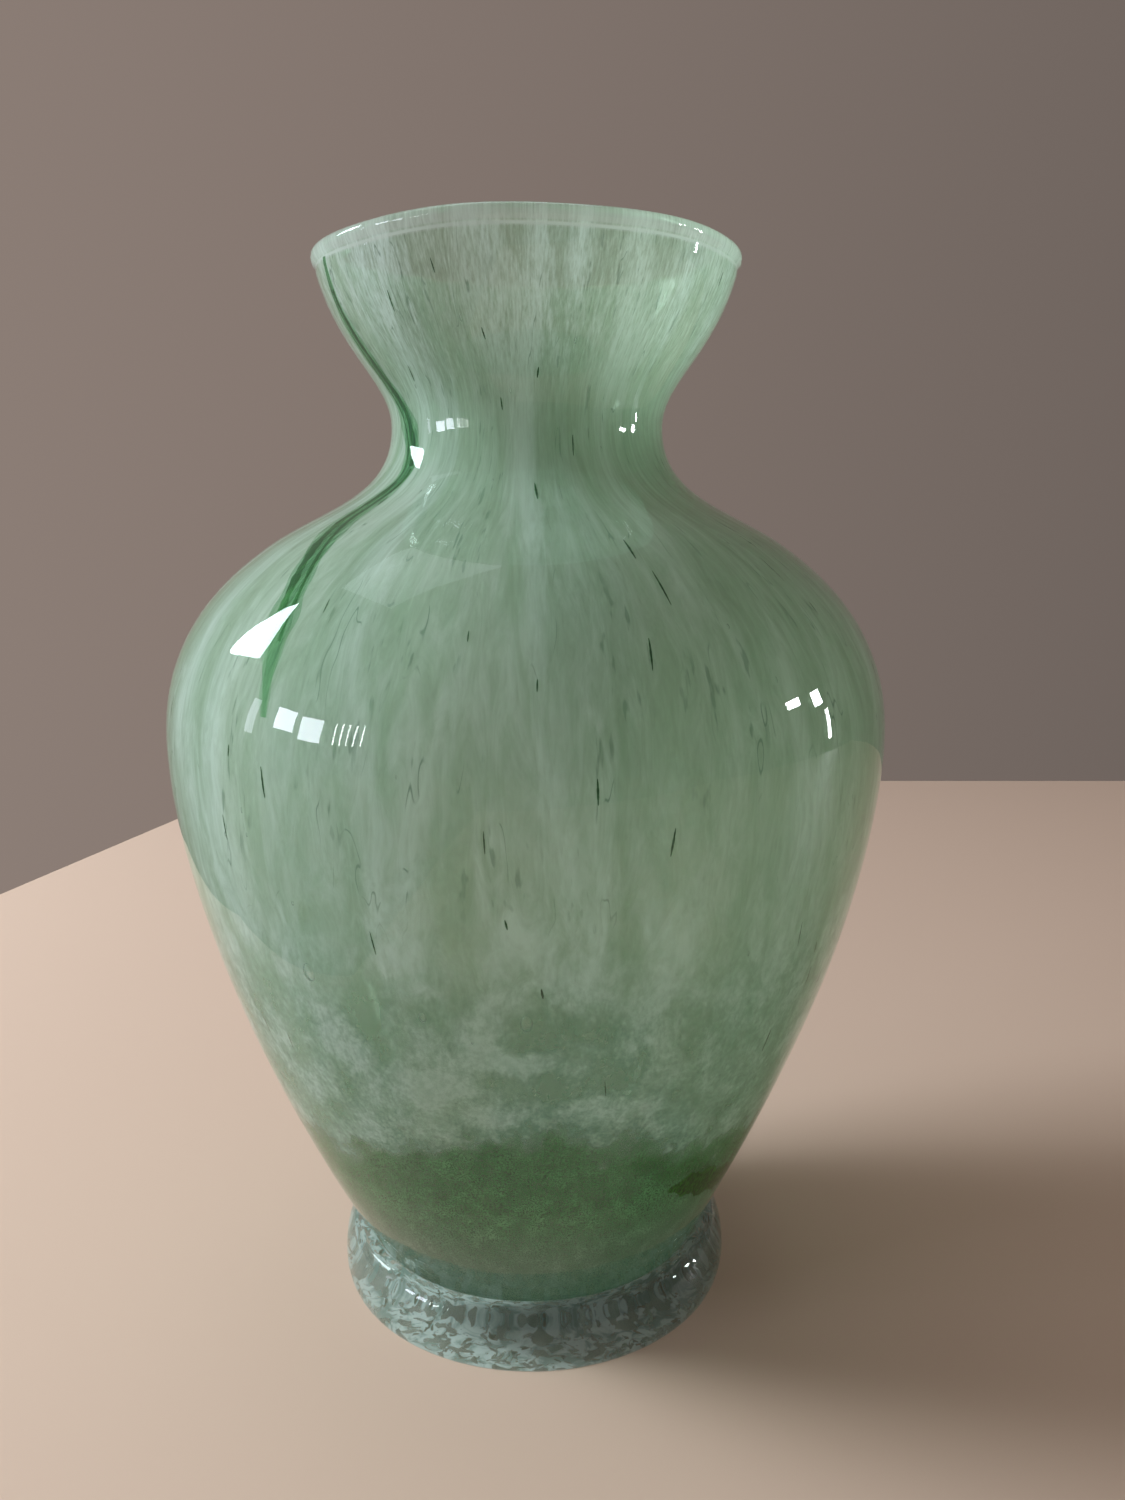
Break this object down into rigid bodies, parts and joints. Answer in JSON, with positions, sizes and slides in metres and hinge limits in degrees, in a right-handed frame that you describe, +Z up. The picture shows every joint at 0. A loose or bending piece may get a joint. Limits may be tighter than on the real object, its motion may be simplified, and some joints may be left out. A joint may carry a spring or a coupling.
{
  "type": "blown glass vase",
  "caption": "Hand blown glass vase: broad shouldered body cased over green glass and pale frit, drawn-in neck, flared mouth, clear applied foot.",
  "frame": {"origin": "on the vase's axis at the plane it stands on, under the foot", "axes": "+Z up along the axis of revolution; -Y faces the viewer, +X is to the viewer's right"},
  "size_m": [0.169, 0.169, 0.252],
  "materials": {
    "clear_glass": "fire-polished gloss",
    "lining_glass": "fire-polished gloss",
    "foot_glass": "fire-polished gloss, ground pontil mark",
    "green_glass": "transparent green with fine specks",
    "pale_frit": "cloudy pale green streaks",
    "dark_green_glass": "dark green glass"
  },
  "bodies": {
    "root": {"clear_lining": "lining_glass", "green_ground": "green_glass", "pale_frit": "pale_frit", "dark_flecks": "dark_green_glass", "dark_trail": "dark_green_glass", "dark_chip": "dark_green_glass", "outer_casing": "clear_glass", "clear_foot": "foot_glass"}
  },
  "joints": []
}
